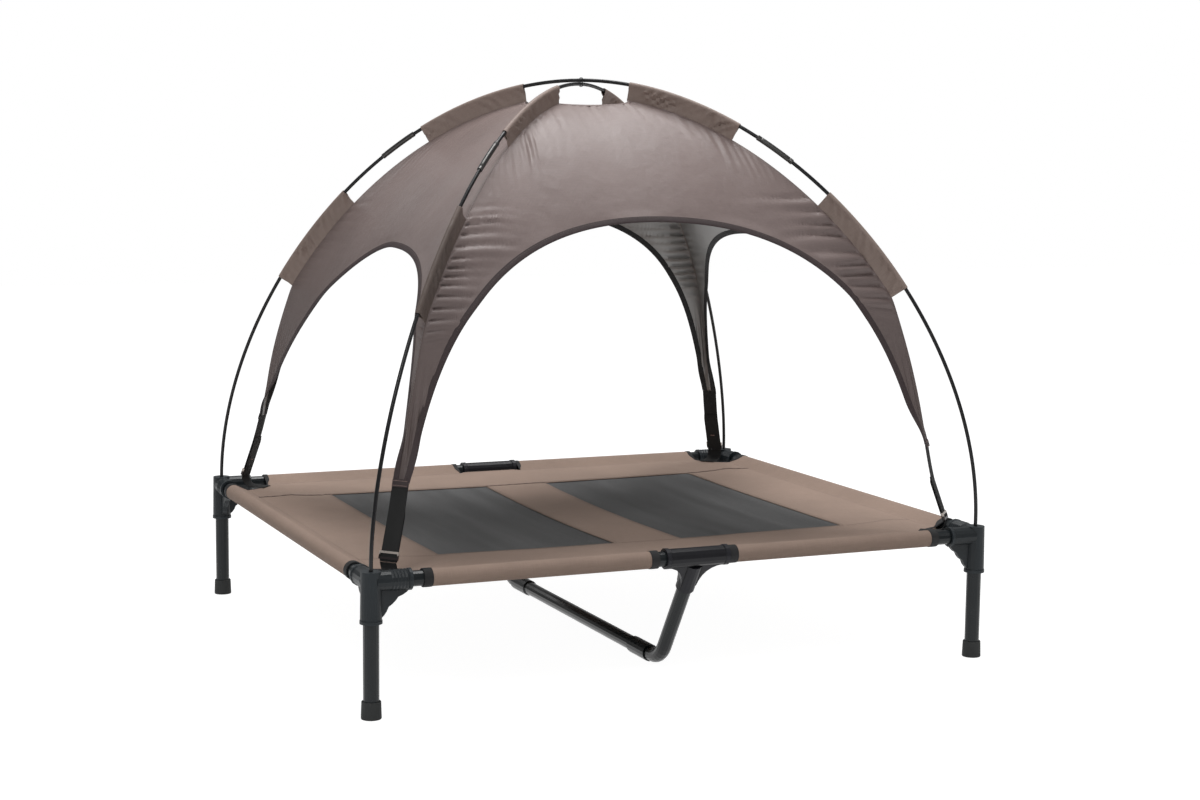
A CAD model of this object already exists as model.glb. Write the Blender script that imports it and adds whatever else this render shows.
from math import acos, asin, cos, hypot, pi, radians, sin

import bmesh
import bpy
import numpy as np
from mathutils import Matrix, Vector


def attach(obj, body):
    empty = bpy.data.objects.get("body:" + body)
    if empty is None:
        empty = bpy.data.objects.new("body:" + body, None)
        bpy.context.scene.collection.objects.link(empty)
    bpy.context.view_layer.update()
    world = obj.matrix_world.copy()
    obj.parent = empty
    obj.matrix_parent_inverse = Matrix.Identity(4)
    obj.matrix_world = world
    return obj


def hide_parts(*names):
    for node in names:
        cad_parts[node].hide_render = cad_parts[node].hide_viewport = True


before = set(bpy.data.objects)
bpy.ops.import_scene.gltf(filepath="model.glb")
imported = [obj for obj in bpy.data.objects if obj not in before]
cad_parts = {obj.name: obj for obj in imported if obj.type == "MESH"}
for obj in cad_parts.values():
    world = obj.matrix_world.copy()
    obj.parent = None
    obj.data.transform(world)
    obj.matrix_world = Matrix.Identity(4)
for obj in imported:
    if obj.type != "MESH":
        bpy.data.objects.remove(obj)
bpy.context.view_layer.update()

# Frame, in metres
HALF_X = 0.55
HALF_Y = 0.484
RAIL_HEIGHT = 0.2162
CONNECTOR_TOP = RAIL_HEIGHT + 0.016
DIAGONAL = hypot(HALF_X, HALF_Y)
UP = np.array((0.0, 0.0, 1.0))

# Bed cloth
CLOTH = 0.001
SLEEVE_SETBACK = 0.083
BRACKET_OPENING = 0.0645
SLEEVE_DEPTH = 0.03
SLEEVE_RADIUS = 0.0138
DECK_X = HALF_X - SLEEVE_DEPTH
DECK_Y = HALF_Y - SLEEVE_DEPTH
SLEEVE_END_X = HALF_X - SLEEVE_SETBACK
SLEEVE_END_Y = HALF_Y - SLEEVE_SETBACK
NOTCH_RADIUS = 0.088
BED_SAG = 0.01
CORNER_FOLD = 0.0026
WINDOW_INNER_X = 0.0626
WINDOW_OUTER_X = 0.38
WINDOW_HALF_Y = 0.3115
TWIN_ROWS = (0.0035, 0.008)
HEM_WIDTH = 0.0145
BACK_HEM_WIDTH = 0.008
NET_OVERLAP = 0.008
NET_DROP = 0.0015
NET_THICKNESS = 0.0006
NET_BAND_PITCH = 0.115

# Canopy
POLE_RADIUS = 0.00325
POLE_ENTRY = 0.034
POLE_APEX = {"upper": 1.0, "lower": 0.9932}
CROWN_REACH = {"lower": 0.4, "upper": 0.385}
FLANK_REACH = {"lower": 0.27, "upper": 0.35}
FERRULE_FROM_TOP = 0.384
FERRULE_LENGTH = 0.076
SEAM_DROP = 0.028
VENT_ARC = 0.097
VENT_SAG = 0.005
UPPER_SLEEVE_END = 0.313
LOWER_SLEEVE_START = 0.512
LOWER_SLEEVE_END = 0.725
TAIL_FROM_LEG = 0.0956
TAIL_TURN = 0.078
SHEET = 0.0009
SLEEVE_PLAY = 0.0006
PUCKER_PITCH = 0.022
PUFF_PITCH = 0.017
STITCH_LIFT = 0.0011
BINDING_WIDTH = 0.01
# Share of a doorway's outline that answers to each of its two ridges; the vent has the rest
RIDGE_SHARE = 0.435
# Doorways: top and sag, then each half's shoulder, waist and waist height as handles of its curve
DOORS = {
    "front": {"top": 0.7576, "sag": 0.0, "left": (0.365, 0.033, 0.492), "right": (0.322, 0.067, 0.581)},
    "right": {"top": 0.7212, "sag": 0.016, "left": (0.27, 0.026, 0.56), "right": (0.279, 0.01, 0.582)},
    "back": {"top": 0.7525, "sag": 0.005, "left": (0.365, 0.044, 0.549), "right": (0.32, 0.028, 0.56)},
    "left": {"top": 0.7033, "sag": 0.019, "left": (0.151, 0.036, 0.475), "right": (0.31, 0.028, 0.553)},
}
# Depth of the gathers beside the lower sleeve and of the folds below the upper one
FOLD_DEPTH = {"front": (0.0056, 0.0015), "back": (0.0056, 0.0011), "left": (0.0016, 0.0008),
              "right": (0.0016, 0.0008)}
HANGING_PITCH = 0.015
TAIL_PITCH = 0.0115
TAIL_FOLD = 0.0022

# The canopy's own hang at each corner: the pole's outward lean, the sleeves' slip down it, the tail's
# end and its bulge outwards, and the pitch, reach, rise and depth of the gathers beside the lower sleeve
GATHERS = {"pitch": 0.016, "reach": 0.078, "rise": 0.19, "depth": 1.0}
HANG = {
    "front_left": {**GATHERS, "lean": 0.0, "slip": 0.0, "out": 0.005, "bulge": 0.0045, "tail": 0.357},
    "back_left": {**GATHERS, "lean": -0.0025, "slip": 0.014, "out": 0.006, "bulge": 0.0095, "tail": 0.358,
                  "pitch": 0.018, "reach": 0.08},
    "back_right": {**GATHERS, "lean": 0.0045, "slip": 0.0, "out": 0.0045, "bulge": 0.0045, "tail": 0.368},
    "front_right": {"lean": 0.005, "slip": -0.005, "out": 0.003, "bulge": 0.0055, "tail": 0.373,
                    "pitch": 0.0215, "reach": 0.1, "rise": 0.7, "depth": 1.6},
}

# Straps
WEBBING_WIDTH = 0.03
WEBBING = 0.0012
STRAP_FOOT_FROM_LEG = 0.0515
STRAP_FOOT_HEIGHT = 0.24
STRAP_TOP = 0.362
STRAP_RETURN = 0.08
SLIDER_REACH = 0.071
STRAP_TURN = 0.0015
TAB_OVERLAP = 0.01
TACK_HEIGHT = 0.033

CORNERS = {"front_left": (-1, -1), "back_left": (-1, 1), "back_right": (1, 1), "front_right": (1, -1)}
POLE_OF = {"front_left": "lower", "back_right": "lower", "front_right": "upper", "back_left": "upper"}
SIDES = {
    "front": ("front_left", "front_right"),
    "right": ("front_right", "back_right"),
    "back": ("back_right", "back_left"),
    "left": ("back_left", "front_left"),
}


# Materials

def add_node(tree, kind, inputs=(), **settings):
    made = tree.nodes.new(kind)
    for key, value in settings.items():
        setattr(made, key, value)
    for key, value in dict(inputs).items():
        if isinstance(value, bpy.types.NodeSocket):
            tree.links.new(value, made.inputs[key])
        else:
            made.inputs[key].default_value = value
    return made


class Finish:
    """A Principled material whose nodes are added one by one."""

    def __init__(self, name, colour, roughness, specular=0.5, metallic=0.0):
        self.material = bpy.data.materials.new(name)
        self.material.use_nodes = True
        self.tree = self.material.node_tree
        self.shader = self.tree.nodes["Principled BSDF"]
        self.colour = colour
        start = {"Base Color": (*colour, 1), "Roughness": roughness, "Specular IOR Level": specular,
                 "Metallic": metallic}
        for socket, value in start.items():
            self.shader.inputs[socket].default_value = value
        self.coords = self.tree.nodes.new("ShaderNodeTexCoord").outputs

    def node(self, kind, inputs=(), **settings):
        return add_node(self.tree, kind, inputs, **settings)

    def math(self, operation, a, b=0.0, c=0.0):
        return self.node("ShaderNodeMath", {0: a, 1: b, 2: c}, operation=operation).outputs[0]

    def split(self, space):
        return self.node("ShaderNodeSeparateXYZ", {0: self.coords[space]}).outputs

    def wave(self, kind, value, pitch):
        return self.math(kind, self.math("MULTIPLY", value, 2 * pi / pitch))

    def noise(self, space, scale, detail=2.0, stretch=(1, 1, 1), roughness=0.5):
        moved = self.node("ShaderNodeMapping", {"Vector": self.coords[space], "Scale": stretch}).outputs[0]
        settings = {"Vector": moved, "Scale": scale, "Detail": detail, "Roughness": roughness}
        return self.node("ShaderNodeTexNoise", settings).outputs["Fac"]

    def span(self, value, low=0.3, high=0.7, to_low=0.0, to_high=1.0):
        ends = {"Value": value, "From Min": low, "From Max": high, "To Min": to_low, "To Max": to_high}
        return self.node("ShaderNodeMapRange", ends).outputs[0]

    def blend(self, factor, a, b):
        return self.node("ShaderNodeMix", {0: factor, 6: a, 7: b}, data_type="RGBA").outputs[2]

    def shade(self, amount):
        return (*[min(c * amount, 1) for c in self.colour], 1)

    def bump(self, height, distance, strength=1.0, after=None):
        inputs = {"Height": height, "Distance": distance, "Strength": strength}
        if after is not None:
            inputs["Normal"] = after
        return self.node("ShaderNodeBump", inputs).outputs["Normal"]

    def finish(self, colour, roughness, normal):
        for socket, value in (("Base Color", colour), ("Roughness", roughness), ("Normal", normal)):
            self.tree.links.new(value, self.shader.inputs[socket])
        return self.material


def woven(name, colour, roughness, pitch, patchiness, relief, crease=0.0, darker=None, specular=0.5):
    """Plain weave with uneven yarns, soft patches, faint creases and a darker end."""
    f = Finish(name, colour, roughness, specular)
    u, v = f.split("UV")[:2]
    weave = f.math("MULTIPLY", f.wave("SINE", u, pitch), f.wave("SINE", v, pitch))
    yarns = f.math("ADD", f.noise("UV", 900, 1, (1, 0.05, 1)), f.noise("UV", 900, 1, (0.05, 1, 1)))
    patches = f.noise("Object", 7.0, 4)
    tone = f.math("MULTIPLY_ADD", f.span(patches), patchiness, f.span(yarns, 0.6, 1.4, 0, 0.3))
    tone = f.math("MULTIPLY_ADD", weave, 0.1, tone)
    cloth = f.blend(f.span(tone, 0.0, 0.3 + patchiness), f.shade(0.84), f.shade(1.15))
    if darker:
        heading, low, high, share = darker
        level = f.node("ShaderNodeVectorMath", {0: f.coords["Object"], 1: heading}, operation="DOT_PRODUCT")
        cloth = f.blend(f.span(level.outputs["Value"], low, high), f.shade(share), cloth)
    normal = f.bump(f.math("MULTIPLY_ADD", yarns, 0.5, weave), relief, 0.6)
    if crease:
        normal = f.bump(f.noise("Object", 26, 3, (1, 1, 0.8), 0.55), crease, 0.8, normal)
    return f.finish(cloth, f.span(patches, 0.3, 0.7, roughness - 0.05, roughness + 0.06), normal)


def lining(name, colour):
    """Silver-coated inner face of the canopy cloth."""
    f = Finish(name, colour, 0.4, metallic=0.45)
    flow = f.noise("Object", 11, 4)
    soft = f.bump(f.noise("Object", 30, 3), 0.0016, 0.7)
    return f.finish(f.blend(f.span(flow), f.shade(0.88), f.shade(1.08)), f.span(flow, 0.3, 0.7, 0.4, 0.54),
                    f.bump(f.noise("UV", 1500, 2), 0.0001, 0.5, soft))


def netting(name, colour, pitch=0.002):
    """Thick threads with darker holes between them."""
    f = Finish(name, colour, 0.62, 0.3)
    u, v = f.split("UV")[:2]
    threads = f.math("MAXIMUM", f.wave("COSINE", u, pitch), f.wave("COSINE", v, pitch))
    streaks = f.noise("UV", 3.2, 3, (0.4, 5, 1))
    thread = f.blend(f.span(streaks, 0.35, 0.65), f.shade(0.84), f.shade(1.5))
    return f.finish(f.blend(f.span(threads, -0.35, 0.15), f.shade(0.22), thread),
                    f.span(streaks, 0.3, 0.7, 0.55, 0.7), f.bump(threads, 0.0003, 0.55))


def webbing(name, colour, pitch=0.0026):
    """Tape with lengthwise ribs crossed by slanting picks."""
    f = Finish(name, colour, 0.68, 0.25)
    u, v = f.split("UV")[:2]
    ribs = f.math("ABSOLUTE", f.wave("SINE", u, pitch))
    picks = f.wave("SINE", f.math("MULTIPLY_ADD", ribs, 0.0011, v), pitch * 0.62)
    height = f.math("MULTIPLY_ADD", picks, 0.6, ribs)
    fuzz = f.noise("UV", 420, 3)
    tone = f.span(f.math("MULTIPLY_ADD", height, 0.35, fuzz), 0.2, 1.0)
    return f.finish(f.blend(tone, f.shade(0.6), f.shade(1.7)), f.span(fuzz, 0.3, 0.7, 0.58, 0.78),
                    f.bump(height, 0.00025, 0.7))


def coated(name, colour, roughness, grain_scale, grain, wear, specular=0.5, metallic=0.0):
    """Moulded or painted surface: fine grain, uneven gloss, rubbed high spots."""
    f = Finish(name, colour, roughness, specular, metallic)
    gloss = f.noise("Object", 22, 4)
    scuffs = f.noise("Object", 60, 5, (1, 1, 3), 0.65)
    rubbed = f.math("MULTIPLY", f.span(scuffs, 0.58, 0.76), f.span(gloss, 0.42, 0.7))
    edges = f.span(f.node("ShaderNodeNewGeometry").outputs["Pointiness"], 0.51, 0.6, 0, 0.8)
    worn = f.math("MAXIMUM", rubbed, edges)
    rough = f.span(gloss, 0.3, 0.7, roughness - 0.05, roughness + 0.05)
    return f.finish(f.blend(worn, f.shade(1.0), f.shade(wear)), f.math("MULTIPLY_ADD", worn, 0.12, rough),
                    f.bump(f.noise("Object", grain_scale, 2), grain, 0.6))


def slider_metal(name, upper, lower):
    """Strap adjuster with a bright upper bar and a darker lower part."""
    f = Finish(name, upper, 0.3, metallic=0.35)
    worn = f.noise("Object", 160, 3)
    share = f.span(f.math("MULTIPLY_ADD", worn, 0.12, f.split("Generated")[2]), 0.58, 0.66)
    return f.finish(f.blend(share, (*lower, 1), (*upper, 1)), f.span(worn, 0.3, 0.7, 0.26, 0.38),
                    f.bump(f.noise("Object", 1300, 2), 0.00003, 0.6))


FINISH = {
    "steel_tube": coated("gloss_black_tube", (0.0056, 0.0076, 0.0089), 0.19, 700, 0.00005, 2.0, 0.33),
    "moulding": coated("blue_black_moulding", (0.017, 0.021, 0.024), 0.4, 1400, 0.0001, 1.9, 0.3),
    "bracket": coated("black_bracket_moulding", (0.011, 0.011, 0.014), 0.38, 1400, 0.0001, 1.9, 0.28),
    "rubber_cap": coated("grey_black_rubber", (0.04, 0.042, 0.042), 0.62, 1100, 0.00014, 1.5, 0.3),
    "canopy_pole": coated("black_glass_fibre_rod", (0.01, 0.01, 0.011), 0.26, 900, 0.00004, 2.0, 0.35),
    "ferrule": coated("dark_metal_ferrule", (0.07, 0.068, 0.066), 0.3, 1200, 0.00004, 1.6, metallic=0.75),
    "slider": slider_metal("two_tone_slider", (0.6, 0.53, 0.48), (0.04, 0.03, 0.03)),
    "bed_cloth": woven("taupe_oxford_cloth", (0.375, 0.274, 0.222), 0.74, 0.0011, 0.3, 0.00018, 0.001,
                       specular=0.25),
    "canopy_cloth": woven("brown_grey_canopy_cloth", (0.261, 0.198, 0.186), 0.42, 0.0007, 0.26, 0.00006,
                          0.002, ((0, 0, 1), 0.33, 0.84, 0.44), 0.55),
    "lining": lining("silver_lining", (0.335, 0.33, 0.325)),
    "sleeve_cloth": woven("brown_sleeve_cloth", (0.325, 0.248, 0.216), 0.48, 0.0007, 0.26, 0.00006, 0.0034,
                          ((1, 1, 0), -0.7, -0.42, 0.42), 0.35),
    "binding": woven("dark_brown_binding", (0.054, 0.036, 0.037), 0.66, 0.001, 0.12, 0.00012),
    "black_tape": woven("black_edge_tape", (0.014, 0.014, 0.015), 0.7, 0.001, 0.14, 0.00014),
    "net": netting("charcoal_net", (0.122, 0.122, 0.122)),
    "webbing": webbing("black_webbing", (0.019, 0.019, 0.019)),
    "thread": woven("brown_thread", (0.15, 0.112, 0.1), 0.62, 0.0006, 0.2, 0.00008),
    "pale_thread": woven("pale_thread", (0.36, 0.25, 0.215), 0.6, 0.0006, 0.2, 0.00008),
}


# Meshes

class Shape:
    """Grids gathered into one mesh, with their cloth coordinates in metres."""

    def __init__(self):
        self.points, self.faces, self.uvs, self.slots = [], [], [], []

    def add(self, points, faces, uvs, slot=0):
        first = sum(map(len, self.points))
        self.points.append(np.reshape(points, (-1, 3)))
        self.faces += [[k + first for k in face] for face in faces]
        self.uvs.append(np.reshape(uvs, (-1, 2)))
        self.slots += [slot] * len(faces)

    def grid(self, points, across, along, closed=False, caps=False, keep=None, slot=0):
        rows, columns = points.shape[:2]
        spans = columns if closed else columns - 1
        i, j = [a.ravel() for a in np.meshgrid(np.arange(rows - 1), np.arange(spans), indexing="ij")]
        if keep is not None:
            chosen = keep[i, j]
            i, j = i[chosen], j[chosen]
        u = np.broadcast_to(across, (rows, spans + 1))
        v = np.broadcast_to(np.asarray(along)[:, None] if np.ndim(along) == 1 else along, u.shape)
        ends = [(i, j), (i, j + 1), (i + 1, j + 1), (i + 1, j)]
        quads = np.stack([a * columns + b % columns for a, b in ends], 1)
        uvs = np.stack([np.stack([u[a, b], v[a, b]], -1) for a, b in ends], 1).reshape(-1, 2)
        used, quads = np.unique(quads, return_inverse=True)
        faces = quads.reshape(-1, 4).tolist()
        if caps:
            faces += [list(range(columns))[::-1], list(range((rows - 1) * columns, rows * columns))]
            uvs = np.r_[uvs, np.zeros((2 * columns, 2))]
        self.add(points.reshape(-1, 3)[used], faces, uvs, slot)
        return self

    def mesh(self, name, sharp=40, weld=0.0):
        mesh = bpy.data.meshes.new(name)
        mesh.from_pydata(np.concatenate(self.points).tolist(), [], self.faces)
        layer = mesh.uv_layers.new(name="cloth")
        layer.data.foreach_set("uv", np.concatenate(self.uvs).astype(np.float32).ravel())
        mesh.polygons.foreach_set("material_index", self.slots)
        if weld:
            bm = bmesh.new()
            bm.from_mesh(mesh)
            bmesh.ops.remove_doubles(bm, verts=bm.verts, dist=weld)
            bm.to_mesh(mesh)
            bm.free()
        mesh.shade_smooth()
        mesh.set_sharp_from_angle(angle=radians(sharp))
        return mesh


def add_object(name, data):
    item = bpy.data.objects.new(name, data)
    bpy.context.scene.collection.objects.link(item)
    return item


def piece(name, shape, looks, body, replaces=(), sharp=40, weld=0.0):
    item = add_object(name, shape.mesh(name, sharp, weld))
    for look in looks:
        item.data.materials.append(FINISH[look])
    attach(item, body)
    if replaces:
        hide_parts(*replaces)
    return item


def thicken(item, thickness, offset=0.0, inner_slot=0):
    step = item.modifiers.new("thickness", "SOLIDIFY")
    step.thickness = thickness
    step.offset = offset
    step.material_offset = inner_slot
    step.use_even_offset = False


def length(vectors):
    return np.linalg.norm(vectors, axis=-1)


def unit(vectors):
    return vectors / np.maximum(length(vectors), 1e-12)[..., None]


def distances(points):
    return np.r_[0, np.cumsum(length(np.diff(points, axis=0)))]


def girth(section):
    return distances(np.r_[section, section[:1]])


def interpolate(points, arc, places):
    return np.stack([np.interp(places, arc, points[:, k]) for k in range(3)], 1)


def bezier(handles, t):
    """Both coordinates of a cubic curve."""
    weights = [(1 - t) ** 3, 3 * t * (1 - t) ** 2, 3 * t ** 2 * (1 - t), t ** 3]
    return [sum(w * h[k] for w, h in zip(weights, handles)) for k in (0, 1)]


def carry(path, side, out, section):
    """A section of (side, out) pairs carried along a path."""
    return path[:, None] + side[:, None] * section[..., :1] + out[:, None] * section[..., 1:]


def sweep(path, side, section):
    """The same with out as the tangent crossed with side."""
    side = np.broadcast_to(side, path.shape)
    return carry(path, side, unit(np.cross(unit(np.gradient(path, axis=0)), side)), section)


def solid_sweep(path, side, section, along=None):
    """A closed section along a path, with flat ends."""
    along = distances(path) if along is None else along
    return Shape().grid(sweep(path, side, section), girth(section), along, closed=True, caps=True)


def arc_points(radius, angles):
    return radius * np.stack([np.cos(angles), np.sin(angles)], 1)


def round_section(radius, sides):
    return arc_points(radius, np.linspace(0, 2 * pi, sides, endpoint=False))


def tape_section():
    """Flat woven tape with softly rounded selvedges."""
    w, t = WEBBING_WIDTH / 2, WEBBING / 2
    edge = [(w, 0), (w - t * 0.5, t * 0.8), (w - t * 2, t)]
    upper = [(-x, y) for x, y in edge] + [(0, t)] + edge[:0:-1]
    return np.array(upper + [(-x, -y) for x, y in upper])


def waves(x, y, seed, size):
    """Smooth unevenness between about -1 and 1, with features of the given size."""
    generator = np.random.default_rng(seed)
    total = 0
    for _ in range(6):
        heading, phase = generator.uniform(0, 2 * pi, 2)
        rate = generator.uniform(0.6, 1.5) * 2 * pi / size
        total = total + np.sin(rate * (x * cos(heading) + y * sin(heading)) + phase)
    return total / 3.2


def rise(value, start, end):
    share = np.clip((value - start) / (end - start), 0, 1)
    return share * share * (3 - 2 * share)


def add_stitches(shape, points, normals, pitch=0.005, reach=0.0034, width=0.00055, height=0.00035):
    """A row of raised thread stitches along a line on the cloth."""
    arc = distances(points)
    centres = np.arange(pitch / 2, arc[-1], pitch)
    behind, middle, ahead = [interpolate(points, arc, np.clip(centres + reach * k / 2, 0, arc[-1]))
                             for k in (-1, 0, 1)]
    normal = unit(interpolate(np.broadcast_to(normals, points.shape), arc, centres))
    side = unit(np.cross(ahead - behind, normal)) * width / 2
    rows = []
    for place, lift in ((behind, height * 0.2), (middle, height), (ahead, height * 0.2)):
        rows += [place - side, place + normal * lift, place + side]
    corners = np.array([(0, 3, 4, 1), (1, 4, 5, 2), (3, 6, 7, 4), (4, 7, 8, 5)])
    faces = (len(rows) * np.arange(len(centres))[:, None, None] + corners).reshape(-1, 4).tolist()
    uvs = np.tile([(0, 0), (0.0017, 0), (0.0017, 0.0004), (0, 0.0004)], (len(faces), 1))
    shape.add(np.stack(rows, 1), faces, uvs)


# Bed cloth

def bed_height(x, y):
    dip = np.cos(pi * x / (2 * DECK_X)) * np.cos(pi * y / (2 * DECK_Y))
    return RAIL_HEIGHT - BED_SAG * np.maximum(dip, 0)


def sleeve_profile():
    """The cloth's path round a rail: distance towards the bed, and height."""
    leave = acos(SLEEVE_RADIUS / SLEEVE_DEPTH)
    tip = np.array((SLEEVE_DEPTH, 0.0))
    arc = arc_points(SLEEVE_RADIUS, np.linspace(leave, 2 * pi - leave, 25))
    upper = tip + (arc[0] - tip) * np.linspace(0, 1, 7)[:-1, None]
    end = tip + np.array((0, -CLOTH * 1.4))
    lower = arc[-1] + (end - arc[-1]) * np.linspace(0, 1, 6)[1:, None]
    return np.r_[upper, arc, lower]


PROFILE = sleeve_profile()
PROFILE_LENGTH = distances(PROFILE)


def cloth_lines(half, marks, spacing):
    """Grid lines over the deck and round the two rails, with the marked lines kept."""
    edge = half - SLEEVE_DEPTH
    stops = sorted({0.0, edge, *(m for m in marks if m < edge)})
    lines = [0.0]
    for low, high in zip(stops, stops[1:]):
        lines += list(np.linspace(low, high, max(1, int(round((high - low) / spacing))) + 1)[1:])
    lines += [edge + s for s in PROFILE_LENGTH[1:]]
    return np.array([-v for v in lines[:0:-1]] + lines)


def wrapped(value, half):
    """Place across the bed and height above the rails for a length along the cloth."""
    beyond = np.maximum(np.abs(value) - (half - SLEEVE_DEPTH), 0)
    inward, height = [np.interp(beyond, PROFILE_LENGTH, PROFILE[:, k]) for k in (0, 1)]
    place = np.where(beyond > 0, np.sign(value) * (half - inward), value)
    return place, np.where(beyond > 0, height, 0.0), beyond > 0


def deck_folds(x, y):
    """Tension folds from the corners, the felled seams and slight puckers along them."""
    lift = 0.0006 * waves(x, y, 3, 0.34) + 0.0003 * waves(x, y, 8, 0.09)
    for n, (sx, sy) in enumerate(CORNERS.values()):
        out_x, out_y = HALF_X - sx * x, HALF_Y - sy * y
        reach = np.hypot(out_x, out_y)
        fade = rise(reach, 0.092, 0.13) * (1 - rise(reach, 0.16, 0.34))
        for m, (heading, share) in enumerate(((0.5, 1), (0.78, -0.8), (1.1, 0.9))):
            bend = heading + 0.03 * sin(5.1 * n + 2.3 * m)
            off = out_x * sin(bend) - out_y * cos(bend)
            along = out_x * cos(bend) + out_y * sin(bend)
            lift = lift + np.exp(-(off / (0.006 + 0.06 * along)) ** 2) * CORNER_FOLD * fade * share
    seam = np.abs(np.abs(y) - WINDOW_HALF_Y - 0.006)
    pucker = np.sin(2 * pi * (x + 0.003 * waves(x, y, 5, 0.05)) / 0.017)
    return lift + 0.0005 * (1 - rise(seam, 0.005, 0.0075)) + 0.00022 * pucker * np.exp(-(seam / 0.012) ** 2)


def deck_lift(x, y):
    """The folds, fading out towards the rails and calm round the windows."""
    fade = rise(np.minimum(DECK_X - np.abs(x), DECK_Y - np.abs(y)), 0.0, 0.02)
    inside = (np.abs(x) < WINDOW_OUTER_X + 0.012) & (np.abs(x) > WINDOW_INNER_X - 0.012)
    return deck_folds(x, y) * fade * np.where(inside & (np.abs(y) < WINDOW_HALF_Y + 0.004), 0.3, 1.0)


def make_bed():
    step = 0.0085
    xs = cloth_lines(HALF_X, [BRACKET_OPENING, WINDOW_INNER_X, WINDOW_OUTER_X, SLEEVE_END_X], step)
    ys = cloth_lines(HALF_Y, [WINDOW_HALF_Y, WINDOW_HALF_Y + 0.012, SLEEVE_END_Y], step)
    u, v = np.meshgrid(xs, ys, indexing="ij")
    x, high_x, over_x = wrapped(u, HALF_X)
    y, high_y, over_y = wrapped(v, HALF_Y)
    flat = ~(over_x | over_y)
    z = bed_height(x, y) + high_x + high_y + np.where(flat, deck_lift(x, y), 0)
    away = np.hypot(np.abs(x) - HALF_X, np.abs(y) - HALF_Y)
    cu, cv = [np.abs(w[1:, 1:] + w[:-1, :-1]) / 2 for w in (u, v)]
    notch = np.hypot(cu - HALF_X, cv - HALF_Y) < NOTCH_RADIUS
    window = (cu > WINDOW_INNER_X) & (cu < WINDOW_OUTER_X) & (cv < WINDOW_HALF_Y)
    keep = (cu < DECK_X) & (cv < DECK_Y) & ~notch & ~window
    keep |= (cv > DECK_Y) & (cu > BRACKET_OPENING) & (cu < SLEEVE_END_X)
    keep |= (cu > DECK_X) & (cv < SLEEVE_END_Y)
    touching = sum(np.pad(keep * 1, ((a, 1 - a), (b, 1 - b))) for a in (0, 1) for b in (0, 1))
    border = (touching > 0) & (touching < 4) & flat & (away < NOTCH_RADIUS + 0.004) & (away > 1e-6)
    scale = np.where(border, NOTCH_RADIUS / np.maximum(away, 1e-6), 1)
    x, y = [np.where(border, np.sign(w) * (half - (half - np.abs(w)) * scale), w)
            for w, half in ((x, HALF_X), (y, HALF_Y))]
    mouth = np.abs(np.abs(v) - DECK_Y) < 1e-6
    y = y + np.where(mouth, np.sign(v) * 0.01 * rise(BRACKET_OPENING - np.abs(x), 0, 0.012), 0)
    shape = Shape().grid(np.stack([x, y, z], -1), v, u, keep=keep)
    deck_cloth = piece("bed_cloth", shape, ["bed_cloth"], "frame", ["bed_fabric"], 50)
    thicken(deck_cloth, CLOTH)
    trims = [make_bed_bindings(), make_bed_stitches(), *[make_tab(corner) for corner in CORNERS]]
    for name, sx in (("left", -1), ("right", 1)):
        make_net(name, sx)


def hem_sweep(shape, start, end, towards_bed, offset, width=HEM_WIDTH):
    """Black tape round the end of a rail sleeve, folded over its cut edge."""
    start, end = np.array((*start, RAIL_HEIGHT)), np.array((*end, RAIL_HEIGHT))
    ahead, inward = unit(end - start), np.array((*towards_bed, 0.0))
    line = PROFILE[:-1]
    tangent = unit(np.gradient(line, axis=0))
    normal = np.stack([tangent[:, 1], -tangent[:, 0]], 1)
    stations = [(0.0, -offset), (-0.0005, 0.0), (0.0, offset), (0.3 * width, offset * 1.15),
                (0.7 * width, offset * 1.15), (width, offset), (width, offset * 0.5)]
    narrow = 0.2 + 0.8 * rise(line[:, :1], SLEEVE_DEPTH, SLEEVE_RADIUS)
    rows = []
    for advance, lift in stations:
        shaped = line + normal * lift
        rows.append(start + ahead * advance * narrow + inward * shaped[:, :1] + UP * shaped[:, 1:])
    shape.grid(np.array(rows), distances(line), np.array([s[0] for s in stations]))


def make_bed_bindings():
    """Black tape on the sleeves' ends and over the edges of the four notches."""
    shape = Shape()
    offset = CLOTH * 0.5 + 0.0007
    for sy in (-1, 1):
        for sx in (-1, 1):
            for start, end in ((SLEEVE_END_X, 0), (BRACKET_OPENING, HALF_X)):
                hem_sweep(shape, (sx * start, sy * HALF_Y), (sx * end, sy * HALF_Y), (0, -sy), offset,
                          HEM_WIDTH if sy < 0 else BACK_HEM_WIDTH)
            hem_sweep(shape, (sx * HALF_X, sy * SLEEVE_END_Y), (sx * HALF_X, 0), (-sx, 0), offset)
    limit = asin(SLEEVE_DEPTH / NOTCH_RADIUS)
    angles = np.linspace(limit, pi / 2 - limit, 40)
    across = np.array([0, 0.0015, 0.005, 0.007, 0.008, 0.01, 0.0135, 0.015])
    for sx, sy in CORNERS.values():
        rows = []
        for reach, lift in ((0.0055, 0.0007), (0.0046, 0.0014), (0.001, 0.0014), (-0.0008, 0.0006),
                            (-0.0008, -0.0006), (0.001, -0.0012), (0.0046, -0.0012), (0.0055, -0.0006)):
            r = NOTCH_RADIUS + reach * (0.3 + 0.7 * np.sin(np.linspace(0, pi, 40)) ** 0.5)
            x, y = sx * (HALF_X - r * np.cos(angles)), sy * (HALF_Y - r * np.sin(angles))
            rows.append(np.stack([x, y, bed_height(x, y) + lift], 1))
        shape.grid(np.array(rows), angles * NOTCH_RADIUS, across)
    return piece("bed_edge_tape", shape, ["black_tape"], "frame", sharp=50)


def on_deck(start, end):
    """Points along a straight line on top of the cloth."""
    x, y = [np.linspace(start[k], end[k], 60) for k in (0, 1)]
    return np.stack([x, y, bed_height(x, y) + CLOTH * 0.5 + deck_lift(x, y)], 1)


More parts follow.
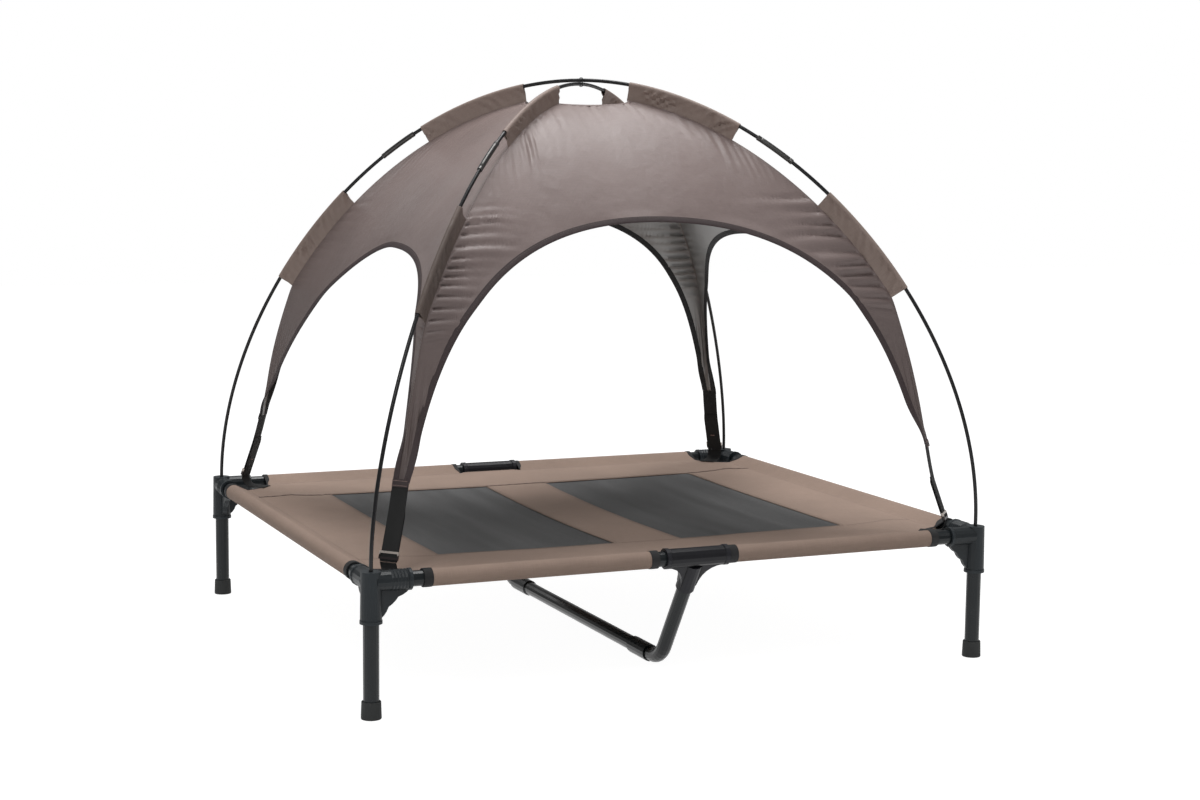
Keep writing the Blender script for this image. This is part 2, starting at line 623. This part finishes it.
def plain_spans(margin):
    """Stretches of the deck before, between and past the windows."""
    inner, outer = WINDOW_INNER_X - margin, WINDOW_OUTER_X + margin
    return (-DECK_X, -outer), (-inner, inner), (outer, DECK_X)


def make_bed_stitches():
    """Twin rows round the windows and along the seams and rail sleeves."""
    rows = []
    for sx in (-1, 1):
        for gap in TWIN_ROWS:
            low, high = sx * (WINDOW_INNER_X - gap), sx * (WINDOW_OUTER_X + gap)
            reach = WINDOW_HALF_Y + gap
            rows += [((x, -reach), (x, reach)) for x in (low, high)]
            rows += [((low, y), (high, y)) for y in (-reach, reach)]
    for sy in (-1, 1):
        for gap in TWIN_ROWS:
            level = sy * (WINDOW_HALF_Y + gap)
            rows += [((low, level), (high, level)) for low, high in plain_spans(0.01)]
        for sx in (-1, 1):
            level = sy * (DECK_Y - 0.0025)
            rows.append(((sx * BRACKET_OPENING, level), (sx * SLEEVE_END_X, level)))
    for sx in (-1, 1):
        place, reach = sx * (DECK_X - 0.0025), SLEEVE_END_Y
        rows.append(((place, -reach), (place, reach)))
    edges = Shape()
    bead = np.array([(-0.001, 0.0005), (-0.0008, -0.0005), (0, -0.0008), (0.0008, -0.0005), (0.001, 0.0005)])
    for low, high in plain_spans(0):
        line = on_deck((low, WINDOW_HALF_Y), (high, WINDOW_HALF_Y))
        edges.grid(sweep(line, (0, 1, 0), bead), bead[:, 0], line[:, 0])
    piece("bed_seam_edges", edges, ["binding"], "frame")
    shape = Shape()
    for start, end in rows:
        add_stitches(shape, on_deck(start, end), UP)
    return piece("bed_stitching", shape, ["thread"], "frame")


def make_net(name, sx):
    low, high = WINDOW_INNER_X - NET_OVERLAP, WINDOW_OUTER_X + NET_OVERLAP
    reach = WINDOW_HALF_Y + NET_OVERLAP
    xs = np.linspace(low, high, 48) * sx
    u, v = np.meshgrid(xs if sx > 0 else xs[::-1], np.linspace(-reach, reach, 72), indexing="ij")
    margin = np.minimum(np.minimum(np.abs(u) - low, high - np.abs(u)), reach - np.abs(v))
    bands = np.sin(2 * pi * (u + 0.012 * waves(u, v, 21 + sx, 0.5)) / NET_BAND_PITCH) * 0.0011
    lift = rise(margin, 0.01, 0.05) * (bands + 0.0006 * waves(u * 2.5, v, 31 + sx, 0.22))
    shape = Shape().grid(np.stack([u, v, bed_height(u, v) - NET_DROP + lift], -1), v, u)
    net = piece("net_window_" + name, shape, ["net"], "frame", ["mesh_window_" + name])
    thicken(net, NET_THICKNESS)


# Canopy

def corner_axes(corner):
    sx, sy = CORNERS[corner]
    out = np.array((sx * HALF_X, sy * HALF_Y, 0.0)) / DIAGONAL
    return out, np.cross(UP, out)


def in_plane(corner, reach, height):
    """Point in the upright plane through a leg."""
    return np.multiply.outer(reach, corner_axes(corner)[0]) + np.multiply.outer(height, UP)


def at_corner(corner, reach, height):
    """The same, moved with the pole's own outward lean at mid height."""
    share = np.clip((np.asarray(height, float) - CONNECTOR_TOP) / (POLE_APEX["upper"] - CONNECTOR_TOP), 0, 1)
    return in_plane(corner, reach + HANG[corner]["lean"] * np.sin(pi * share), height)


def pole_table(pole):
    """A pole from the crossing to the connector, as arc length, reach and height."""
    top = POLE_APEX[pole]
    handles = [(0, top), (CROWN_REACH[pole], top), (DIAGONAL, CONNECTOR_TOP + FLANK_REACH[pole]),
               (DIAGONAL, CONNECTOR_TOP)]
    reach, height = bezier(handles, np.linspace(0, 1, 900))
    return distances(np.stack([reach, height], 1)), reach, height


POLE_TABLES = {pole: pole_table(pole) for pole in POLE_APEX}


def pole_line(pole, along, inset=0.0):
    """Reach and height along a pole, or along a line inset from its curve."""
    arc, reach, height = POLE_TABLES[pole]
    slope = unit(np.stack([np.gradient(reach, arc), np.gradient(height, arc)], 1))
    r = np.interp(along, arc, reach) + inset * np.interp(along, arc, slope[:, 1])
    z = np.interp(along, arc, height) - inset * np.interp(along, arc, slope[:, 0])
    return r, z - np.maximum(along - arc[-1], 0)


def seam_line(corner):
    """Ridge seam from the tail up to the vent, as reach and height."""
    hang = HANG[corner]
    along = np.linspace(LOWER_SLEEVE_END, VENT_ARC, 220) + hang["slip"]
    upper = np.stack(pole_line(POLE_OF[corner], along, SEAM_DROP), 1)
    end = np.array((DIAGONAL - TAIL_FROM_LEG + hang["out"], hang["tail"]))
    share = np.linspace(0, 1, 70)[:-1]
    lower = end + (upper[0] - end) * share[:, None]
    lower[:, 0] += hang["bulge"] * np.sin(pi * share)
    kernel = np.hanning(17)
    padded = np.pad(np.r_[lower, upper], ((8, 8), (0, 0)), mode="reflect", reflect_type="odd")
    return np.stack([np.convolve(padded[:, k], kernel / kernel.sum(), mode="valid") for k in (0, 1)], 1)


SEAMS = {corner: seam_line(corner) for corner in CORNERS}


def on_pole(corner, along):
    return at_corner(corner, *pole_line(POLE_OF[corner], along))


def seam_point(corner, height):
    line = SEAMS[corner]
    height = np.minimum(height, line[-1, 1])
    return at_corner(corner, np.interp(height, line[:, 1], line[:, 0]), height)


def sleeve_heights(corner):
    """Heights of the seam at the lower sleeve's ends and the upper one's foot."""
    places = np.array((LOWER_SLEEVE_END, LOWER_SLEEVE_START, UPPER_SLEEVE_END)) + HANG[corner]["slip"]
    return pole_line(POLE_OF[corner], places, SEAM_DROP)[1]


def seam_stations(corner):
    """Heights and lengths along a ridge seam, closer together where it is gathered."""
    z, arc = SEAMS[corner][:, 1], distances(SEAMS[corner])
    low, high, crown = sleeve_heights(corner)
    gathered = rise(z, low - 0.06, low - 0.01) * (1 - rise(z, high + 0.01, high + 0.04))
    hanging = rise(z, crown - 0.04, crown - 0.01)
    spacing = (0.008 - 0.0058 * gathered - 0.0048 * hanging) * 1.0
    steps = np.r_[0, np.cumsum(np.diff(arc) / spacing[1:])]
    picks = np.linspace(0, steps[-1], int(steps[-1]) + 1)
    return np.interp(picks, steps, z), np.interp(picks, steps, arc)


def panel_points(left, right, share, height, sag):
    """Cloth stretched level between two seams; its tails turn flat to the straps."""
    a, b = seam_point(left, height), seam_point(right, height)
    first = (share <= 0.5)[..., None]
    way = unit(np.where(first, b - a, a - b))
    width = length(b - a) * np.minimum(share, 1 - share)
    across = seam_point(right, 0.6) - seam_point(left, 0.6)
    flats = [corner_axes(corner)[1] for corner in (left, right)]
    flat = np.where(first, flats[0] * np.sign(flats[0] @ across), flats[1] * np.sign(flats[1] @ -across))
    tail = np.where(share <= 0.5, HANG[left]["tail"], HANG[right]["tail"])
    flatness = rise(height - tail, TAIL_TURN, 0)[..., None]
    heading = unit(way * (1 - flatness) + flat * flatness)
    inward = -(a + b) / 2
    inward[..., 2] = 0
    tightness = rise(SEAMS[left][-1, 1] - height, 0, 0.1)
    pull = unit(inward) * (sag * 4 * share * (1 - share) * tightness)[..., None]
    return np.where(first, a, b) + heading * width[..., None] + pull, width


def doorway(left, right, door, place):
    """Share across the panel and height of the doorway's edge, by place along it."""
    halves = []
    for near, half, t in ((left, "left", place * 2), (right, "right", 2 - place * 2)):
        shoulder, waist, waist_height = door[half]
        low = HANG[near]["tail"]
        foot = length(seam_point(left, low) - seam_point(right, low)) / 2 - WEBBING_WIDTH / 2
        handles = [(foot, low), (foot - waist, waist_height), (shoulder, door["top"]), (0, door["top"])]
        halves.append(bezier(handles, np.minimum(t, 1)))
    (near_x, near_z), (far_x, far_z) = halves
    x, z = np.where(place <= 0.5, -near_x, far_x), np.where(place <= 0.5, near_z, far_z)
    return 0.5 + x / length(seam_point(left, z) - seam_point(right, z)), z


def ridge_gathers(corner, width, height, seed, depth):
    """Gathers beside the lower sleeve, rising away from the seam lower down."""
    low, high, _ = sleeve_heights(corner)
    hang = HANG[corner]
    tilt = hang["rise"] * (1 - rise(height, 0.5, 0.66))
    level = height - tilt * width + 0.003 * waves(width * 0.6, height, seed, 0.1)
    turn = pi * (level + 0.0035 * waves(level, 0 * level, seed + 3, 0.075)) / hang["pitch"]
    fold = np.abs(np.sin(turn)) - 0.62 + 0.25 * np.sin(turn * 0.53 + seed)
    reach = hang["reach"] * (1 + 0.35 * waves(level, 0 * level, seed + 9, 0.045))
    where = rise(height, low - 0.055, low + 0.02) * (1 - rise(height, high - 0.005, high + 0.035))
    return depth * hang["depth"] * fold * where * np.exp(-(width / reach) ** 2) * rise(width, 0, 0.008)


def hanging_folds(corner, width, height, along, seed, depth):
    """Soft folds that hang straight down from the upper sleeve."""
    crown = sleeve_heights(corner)[2]
    place = along + 0.1 * (SEAMS[corner][-1, 1] - height) + 0.004 * waves(along, height, seed, 0.11)
    turn = 2 * pi * place / HANGING_PITCH
    fold = np.sin(turn) + 0.5 * np.sin(turn * 0.61 + 1.3 + seed)
    strength = 0.75 + 0.5 * waves(along, 0 * along, seed + 4, 0.07)
    where = rise(height, crown - 0.1, crown + 0.02) * rise(width, 0.001, 0.012)
    return depth * fold * strength * where * np.exp(-(width / 0.08) ** 2)


def tail_folds(corner, width, height, seed):
    """Lengthwise folds where two panels come together towards the strap."""
    above = height - HANG[corner]["tail"]
    turn = 2 * pi * (width + 0.03 * above) / TAIL_PITCH
    return TAIL_FOLD * np.sin(turn + seed) * rise(above, 0.2, 0.05) * rise(width, 0.001, 0.005)


def make_panel(n, side, shape, across, vent):
    """Adds a panel; gives its points, normals, part round the vent and unfolded rim."""
    left, right = SIDES[side]
    door = DOORS[side]
    rising, rising_arc = seam_stations(left)
    falling, falling_arc = [values[::-1] for values in seam_stations(right)]
    level = rising[-1] + (falling[0] - rising[-1]) * vent - VENT_SAG * 4 * vent * (1 - vent)
    share = np.r_[0 * rising, vent, 1 + 0 * falling]
    height = np.r_[rising, level, falling]
    vent_share = 1 - 2 * RIDGE_SHARE
    place = np.r_[rising_arc / rising_arc[-1] * RIDGE_SHARE, RIDGE_SHARE + vent_share * vent,
                  1 - falling_arc / falling_arc[0] * RIDGE_SHARE]
    inner_share, inner_height = doorway(left, right, door, place)
    u = share[:, None] + (inner_share - share)[:, None] * across
    z = height[:, None] + (inner_height - height)[:, None] * across
    points, width = panel_points(left, right, u, z, door["sag"])
    normal = unit(np.cross(np.gradient(points, axis=0), np.gradient(points, axis=1)))
    middle = len(points) // 2
    normal = normal * np.sign(normal[middle, 8] @ (points[middle, 8] - UP * STRAP_TOP))
    along = points @ unit(points[-1, 0] - points[0, 0])
    lift = 0.0022 * waves(along, z * 0.6, 40 + n, 0.24) * rise(width, 0, 0.05)
    gather, hang = FOLD_DEPTH[side]
    halves = ((left, place <= 0.5, 2 * n, along), (right, place > 0.5, 2 * n + 1, -along))
    for corner, mask, seed, way in halves:
        folds = ridge_gathers(corner, width, z, 60 + seed, gather) + tail_folds(corner, width, z, seed)
        folds = folds + hanging_folds(corner, width, z, way, 80 + seed, hang)
        lift = lift + np.where(mask[:, None], folds, 0)
    to_edge = length(points[:, -1] - points[:, 0])[:, None] * (1 - across)
    lift = lift * rise(to_edge, BINDING_WIDTH * 0.8, 0.032)
    lift[:, 0] = 0
    folded = points + normal * lift[..., None]
    shape.grid(folded, np.where(u <= 0.5, width, -width), z)
    return folded, normal, slice(len(rising) - 1, len(points) - len(falling) + 1), points[:, -4:]


def make_canopy():
    """One sheet over the four ridges, open at the doorways and at the crown."""
    across = np.linspace(0, 1, 39) ** 1.15
    vent = np.linspace(0, 1, 45)[1:-1]
    shape = Shape()
    grids = {side: make_panel(n, side, shape, across, vent) for n, side in enumerate(SIDES)}
    sheet = piece("canopy_sheet", shape, ["canopy_cloth", "lining"], "canopy",
                  ["canopy_panel_" + side for side in SIDES], weld=5e-5)
    face_outwards(sheet.data)
    thicken(sheet, SHEET, 0.2, 1)
    trims = [make_doorway_binding(side, grids[side][3], grids[side][1]) for side in SIDES]
    trims += [make_vent_hem(grids), make_canopy_stitches(grids)]
    return sheet


def face_outwards(mesh):
    bm = bmesh.new()
    bm.from_mesh(mesh)
    bmesh.ops.recalc_face_normals(bm, faces=bm.faces)
    top = max(bm.faces, key=lambda face: face.calc_center_median().z)
    if top.normal.z < 0:
        bmesh.ops.reverse_faces(bm, faces=bm.faces)
    bm.to_mesh(mesh)
    bm.free()


def make_doorway_binding(side, points, normal):
    """Brown tape folded over the doorway's edge, black on the inside."""
    edge = points[:, -1]
    inward = unit(points[:, 0] - edge)
    tangent = unit(np.gradient(edge, axis=0))
    inward = unit(inward - tangent * (inward * tangent).sum(-1, keepdims=True))
    out = unit(np.cross(tangent, inward))
    middle = len(out) // 2
    out = out * np.sign(out[middle] @ normal[middle, -1])
    w = BINDING_WIDTH
    outer = [(w, 0.0005), (w, 0.001), (w / 2, 0.0013), (0.0008, 0.0013), (-0.0006, 0.0008), (-0.001, 0)]
    inner = [(-0.001, 0), (-0.0006, -0.0008), (0.0008, -0.0011), (w / 2, -0.0011), (w, -0.0009),
             (w, -0.0004)]
    shape = Shape()
    for slot, section in enumerate((np.array(outer), np.array(inner))):
        shape.grid(carry(edge, inward, out, section), distances(section), distances(edge), slot=slot)
    return piece("doorway_binding_" + side, shape, ["binding", "black_tape"], "canopy", sharp=60)


def make_vent_hem(grids):
    """Narrow turned hem round the crown opening."""
    shape = Shape()
    section = np.array([(0.007, 0.0003), (0.0068, 0.001), (0.001, 0.0012), (-0.0006, 0.0003),
                        (0.001, -0.001), (0.0068, -0.0009), (0.007, -0.0003)])
    for points, normal, crown, _ in grids.values():
        edge = points[crown, 0]
        rows = carry(edge, unit(points[crown, 3] - edge), normal[crown, 1], section)
        shape.grid(rows, distances(section), distances(edge))
    return piece("vent_hem", shape, ["canopy_cloth"], "canopy", sharp=50)


def make_canopy_stitches(grids):
    """Thread rows beside the ridges, on the bindings and on the vent hem."""
    shape = Shape()
    for points, normal, crown, rim in grids.values():
        inward = unit(points[:, 2] - points[:, 0])
        for part in (slice(2, crown.start + 1), slice(crown.stop - 1, len(points) - 2)):
            line = points[part, 0] + inward[part] * 0.003 + normal[part, 2] * (SHEET * 0.6)
            add_stitches(shape, line, normal[part, 2])
        edge = rim[:, -1] + unit(rim[:, 0] - rim[:, -1]) * (BINDING_WIDTH - 0.0022)
        add_stitches(shape, edge + normal[:, -1] * STITCH_LIFT, normal[:, -1])
        top = points[crown, 0]
        line = top + unit(points[crown, 3] - top) * 0.005 + normal[crown, 1] * STITCH_LIFT
        add_stitches(shape, line, normal[crown, 1])
    return piece("canopy_stitching", shape, ["thread"], "canopy")


def puckered(loop, stations, n, slope, splay):
    """A sleeve's sections, pushed to and fro where they hang free of pole and seam."""
    s, depth = stations[:, None], -loop[:, 1][None]
    hang = rise(depth, -0.001, 0.009) * (1 - rise(depth, 0.019, SEAM_DROP))
    slant = s + depth * slope
    pucker = np.sin(2 * pi * (slant + 0.006 * waves(s, depth * 2, 7 * n, 0.07)) / PUCKER_PITCH)
    pucker = pucker * (0.6 + 0.6 * waves(s, 0 * depth, 31 + n, 0.09))
    push = hang * (0.0028 * pucker + 0.0012 * waves(s, depth, 90 + n, 0.12))
    puff = 1 + 0.45 * hang * np.sin(2 * pi * slant / PUFF_PITCH + n)
    ends = np.maximum(1 - rise(s, s[0], s[0] + 0.008), rise(s, s[-1] - 0.008, s[-1])) * splay
    x = loop[:, 0][None] * puff
    x = x + np.sign(x) * ends + push
    return np.stack([x, np.broadcast_to(-depth, x.shape)], -1)


def make_sleeves():
    """Cloth tunnels that hold the poles off the ridges."""
    hole = POLE_RADIUS + SLEEVE_PLAY
    angles = np.radians(np.linspace(-118, 118, 15))
    leaf = [(0.0031, -0.0065), (0.0022, -0.011), (0.0014, -0.017), (0.001, -0.023),
            (0.0008, -SEAM_DROP - 0.0006)]
    tunnel = [(0.0024, -0.0056), (0.0014, -0.009), (0.0006, -0.0125), (0.0003, -0.014), (0.0002, -0.015)]
    loops = []
    for radius, side in ((hole + SHEET, leaf), (hole, tunnel)):
        crown = [(radius * sin(a), radius * cos(a)) for a in angles]
        loops.append(np.array(crown + side + [(-x, y) for x, y in side[::-1]]))
    around = girth(loops[0])
    spans = [("upper", VENT_ARC, UPPER_SLEEVE_END, 1.1),
             ("lower", LOWER_SLEEVE_START, LOWER_SLEEVE_END, -0.7)]
    for n, corner in enumerate(CORNERS):
        side, slip = corner_axes(corner)[1], HANG[corner]["slip"]
        for level, start, end, slope in spans:
            start, end = start + slip, end + slip
            stations = np.linspace(start, end, 76)
            path = on_pole(corner, stations)
            across = side if np.cross(path[1] - path[0], side)[2] > 0 else -side
            outer, inner = [sweep(path, across, puckered(loop, stations, n, slope, splay))
                            for loop, splay in zip(loops, (0.0002, 0))]
            shape = Shape().grid(outer, around, stations, closed=True)
            shape.grid(inner[::-1], around, stations, closed=True)
            for rim in (np.array([inner[0], outer[0]]), np.array([outer[-1], inner[-1]])):
                shape.grid(rim, around, np.array((0, 0.001)), closed=True)
            name = level + "_pole_sleeve_" + corner
            item = piece("cloth_" + name, shape, ["sleeve_cloth"], "canopy", [name],
                         sharp=45, weld=1e-5)


def make_rod(name, corner, path, stations):
    shape = solid_sweep(path, corner_axes(corner)[1], round_section(POLE_RADIUS, 16), stations)
    piece("rod_" + name, shape, ["canopy_pole"], "canopy", [name])


def make_poles():
    """Smooth glass-fibre sections with a metal ferrule over each joint."""
    for pole, corners in (("lower", ("front_left", "back_right")), ("upper", ("back_left", "front_right"))):
        half = np.linspace(0, FERRULE_FROM_TOP, 41)
        near, far = [on_pole(corner, half) for corner in corners]
        make_rod("pole_" + pole + "_middle", corners[1], np.r_[near[:0:-1], far], np.r_[-half[:0:-1], half])
        foot = POLE_TABLES[pole][0][-1]
        stations = np.r_[np.linspace(FERRULE_FROM_TOP + 0.0003, foot, 70), foot + POLE_ENTRY]
        for corner in corners:
            make_rod("pole_end_" + corner, corner, on_pole(corner, stations), stations)
            make_ferrule(corner)


def make_ferrule(corner):
    """Thin metal tube with a rolled ring at each end."""
    side = corner_axes(corner)[1]
    half = FERRULE_LENGTH / 2
    inner = POLE_RADIUS + 0.0004
    outer = inner + 0.0012
    steps = [(-half, inner), (-half, outer - 0.0004), (-half + 0.0005, outer), (-half + 0.006, outer),
             (-half + 0.0066, outer - 0.0003), (-half + 0.0076, outer - 0.0003), (-half + 0.0082, outer)]
    steps += [(s, outer) for s in np.linspace(steps[-1][0], -steps[-1][0], 10)[1:-1]]
    steps += [(-s, r) for s, r in steps[6::-1]]
    lengths, radii = np.array(steps).T
    stations = FERRULE_FROM_TOP + lengths
    path, ahead, behind = [on_pole(corner, stations + d) for d in (0, 0.001, -0.001)]
    path[0], path[-1] = path[1], path[-2]
    ring = round_section(1.0, 20)
    rows = carry(path, np.broadcast_to(side, path.shape), unit(np.cross(ahead - behind, side)),
                 ring * radii[:, None, None])
    shape = Shape().grid(rows, girth(ring) * outer, stations, closed=True)
    name = "ferrule_" + corner
    piece("metal_" + name, shape, ["ferrule"], "canopy", [name], 35)


# Straps

def strap_frame(corner):
    foot = in_plane(corner, DIAGONAL - STRAP_FOOT_FROM_LEG, STRAP_FOOT_HEIGHT)
    upward = unit(in_plane(corner, DIAGONAL - TAIL_FROM_LEG, STRAP_TOP) - foot)
    out, side = corner_axes(corner)
    normal = unit(np.cross(upward, side))
    return foot, upward, normal * np.sign(normal @ out), side


def tail_end(corner):
    """Where the webbing meets the tail, and how far that is off the foot's straight line."""
    hang = HANG[corner]
    top = at_corner(corner, DIAGONAL - TAIL_FROM_LEG + hang["out"], hang["tail"])
    return top, top - in_plane(corner, DIAGONAL - TAIL_FROM_LEG, STRAP_TOP)


def make_strap(corner):
    """Webbing from the tail down through the corner tab and back up behind itself."""
    foot, upward, normal, side = strap_frame(corner)
    top, moved = tail_end(corner)
    rise_to_tail = length(top - moved - foot)

    def up_strap(climb):
        bend = moved * np.clip((climb[:, None] - SLIDER_REACH) / (rise_to_tail - SLIDER_REACH), 0, 1) ** 1.3
        return foot + upward * climb[:, None] + bend

    angles = np.linspace(0, pi, 13)[:, None]
    turn = foot - normal * STRAP_TURN * (1 - np.cos(angles)) - upward * STRAP_TURN * np.sin(angles)
    climb = np.linspace(0, STRAP_RETURN, 22)[1:]
    closing = rise(climb, SLIDER_REACH, STRAP_RETURN - 0.002)
    gap = 2 * STRAP_TURN - (2 * STRAP_TURN - WEBBING - 0.0003) * closing
    path = np.r_[up_strap(np.linspace(rise_to_tail - 0.0006, 0, 30)[:-1]), turn,
                 up_strap(climb) - normal * gap[:, None]]
    name = "strap_" + corner
    shape = solid_sweep(path, side, tape_section())
    strap = piece("webbing_" + name, shape, ["webbing"], "canopy", [name], 50)
    make_patch(corner)


def make_patch(corner):
    """Brown patch on the tail's end, with two pale rows and a bar tack on the return."""
    foot, upward, normal, side = strap_frame(corner)
    top = tail_end(corner)[0]
    half = WEBBING_WIDTH / 2 - 0.0004
    widths = half * np.array([-1, -0.97, -0.5, 0, 0.5, 0.97, 1])
    sink = np.array([0.0009, 0.0002, 0, 0, 0, 0.0002, 0.0009])
    profile = ((-0.0074, 0.0009), (-0.007, 0.0018), (-0.003, 0.0021), (0.0, 0.0023), (0.003, 0.0024),
               (0.005, 0.0024), (0.0054, 0.0016))
    rows = [top + upward * h + side * widths[:, None] + normal * (n - sink)[:, None] for h, n in profile]
    patch = Shape().grid(np.array(rows), widths, np.array([h for h, _ in profile]))
    stitch = Shape()
    share = np.linspace(-1, 1, 14)[:, None]
    for height in (-0.005, 0.0026):
        line = top + side * (half - 0.0016) * share + upward * height + normal * 0.0025
        add_stitches(stitch, line, normal, 0.0026, 0.0021, 0.0008, 0.0005)
    back = -normal * (2 * STRAP_TURN + WEBBING * 0.5 + 0.0003)
    for step in (-0.0008, 0.0, 0.0008):
        line = foot + upward * (TACK_HEIGHT + step) + back + side * 0.0045 * share
        add_stitches(stitch, line, -normal, 0.0016, 0.0014, 0.0008, 0.0004)
    item = piece("strap_patch_" + corner, patch, ["binding"], "canopy", sharp=50)
    threads = piece("strap_box_stitch_" + corner, stitch, ["pale_thread"], "canopy")
    threads.parent = item
    threads.matrix_parent_inverse = Matrix.Identity(4)
    return item


def make_tab(corner):
    """Short webbing tab sewn to the notch and turned up to the strap's foot."""
    foot = DIAGONAL - STRAP_FOOT_FROM_LEG
    level = RAIL_HEIGHT + 0.0016
    top = STRAP_FOOT_HEIGHT - STRAP_TURN - WEBBING - 0.0003
    knots = np.array([(DIAGONAL - NOTCH_RADIUS - TAB_OVERLAP, level), (DIAGONAL - NOTCH_RADIUS, level),
                      (foot - 0.012, level + 0.001), (foot - 0.004, level + 0.006), (foot, top)])
    shares = np.array([0, 0.22, 0.62, 0.82, 1.0])
    line = [np.interp(np.linspace(0, 1, 24), shares, knots[:, k]) for k in (0, 1)]
    for values in line * 4:
        values[1:-1] = np.convolve(values, (0.25, 0.5, 0.25), "valid")
    shape = solid_sweep(in_plane(corner, *line), corner_axes(corner)[1], tape_section())
    return piece("strap_tab_" + corner, shape, ["webbing"], "frame", sharp=50)


# Studio

def make_camera():
    yaw, pitch, roll = 0.4135, -0.1244, 0.0107
    place = Vector((-1.3698, -3.213, 0.8173)) * 2 * HALF_X
    camera = add_object("camera", bpy.data.cameras.new("camera"))
    camera.data.sensor_width = 36
    camera.data.lens = 63.13
    camera.matrix_world = (Matrix.Translation(place) @ Matrix.Rotation(-yaw, 4, "Z")
                           @ Matrix.Rotation(pi / 2 + pitch, 4, "X") @ Matrix.Rotation(roll, 4, "Z"))
    bpy.context.scene.camera = camera


def area_light(name, place, target, size, power):
    light = bpy.data.lights.new(name, "AREA")
    light.shape = "RECTANGLE"
    light.size, light.size_y = size
    light.energy = power
    item = add_object(name, light)
    item.location = place
    item.rotation_mode = "QUATERNION"
    item.rotation_quaternion = (Vector(target) - Vector(place)).to_track_quat("-Z", "Y")


def seen_directly(tree, *kinds):
    """1 for the rays of the given kinds, 0 for the rest."""
    paths = add_node(tree, "ShaderNodeLightPath").outputs
    seen = paths["Is Camera Ray"]
    for kind in kinds:
        seen = add_node(tree, "ShaderNodeMath", {0: seen, 1: paths[kind]}, operation="MAXIMUM").outputs[0]
    return seen


def make_studio():
    """White surroundings and floor, lit softly from above with a key from the left."""
    world = bpy.data.worlds.new("studio")
    bpy.context.scene.world = world
    world.use_nodes = True
    tree = world.node_tree
    seen = seen_directly(tree, "Is Transmission Ray")
    level = add_node(tree, "ShaderNodeMapRange", {"Value": seen, "To Min": 0.27, "To Max": 1.0}).outputs[0]
    background = tree.nodes["Background"]
    background.inputs["Color"].default_value = (1, 1, 1, 1)
    tree.links.new(level, background.inputs["Strength"])
    shape = Shape()
    corners = np.array([(-1, -1, 0), (1, -1, 0), (1, 1, 0), (-1, 1, 0)]) * 9.0 - UP * 0.0004
    shape.add(corners, [(0, 1, 2, 3)], [(0, 0), (1, 0), (1, 1), (0, 1)])
    floor = add_object("studio_floor", shape.mesh("studio_floor"))
    floor.data.materials.append(floor_finish())
    area_light("key", (-2.4, -2.9, 4.0), (0, 0, 0.45), (1.5, 1.2), 50)
    area_light("fill", (2.6, -3.0, 2.6), (0, 0, 0.45), (1.8, 1.6), 8)
    area_light("top", (0.5, 0.8, 4.6), (0, 0, 0.3), (2.4, 2.4), 148)
    area_light("back", (-0.5, 4.2, 2.1), (0, 0, 0.6), (1.5, 1.0), 4)


def floor_finish():
    f = Finish("pale_floor", (0.6, 0.6, 0.6), 0.9, 0.1)
    speckle = f.blend(f.noise("Object", 3, 2), (0.59, 0.59, 0.59, 1), (0.61, 0.61, 0.61, 1))
    f.tree.links.new(speckle, f.shader.inputs["Base Color"])
    seen = seen_directly(f.tree, "Is Transmission Ray", "Is Glossy Ray")
    glow = f.node("ShaderNodeEmission", {"Color": (1, 1, 1, 1), "Strength": 1.56}).outputs[0]
    share = f.math("MULTIPLY", seen, 0.62)
    mixed = f.node("ShaderNodeMixShader", {0: share, 1: f.shader.outputs[0], 2: glow}).outputs[0]
    f.tree.links.new(mixed, f.tree.nodes["Material Output"].inputs["Surface"])
    return f.material


def dress_nodes():
    """Give the CAD parts that stay their finishes."""
    looks = {"moulding": "corner_connector", "bracket": "centre_bracket", "rubber_cap": "foot_cap",
             "steel_tube": ("leg", "u_leg", "front_rail", "back_rail", "side_rail"),
             "slider": "strap_slider", "black_tape": "pole_tie"}
    for name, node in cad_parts.items():
        for look, starts in looks.items():
            if name.startswith(starts):
                if not node.material_slots:
                    node.data.materials.append(FINISH[look])
                for place in node.material_slots:
                    place.material = FINISH[look]


def build():
    bpy.context.scene.view_settings.view_transform = "Standard"
    make_camera()
    make_studio()
    dress_nodes()
    make_bed()
    make_poles()
    sheet = make_canopy()
    make_sleeves()
    for corner in CORNERS:
        make_strap(corner)


build()
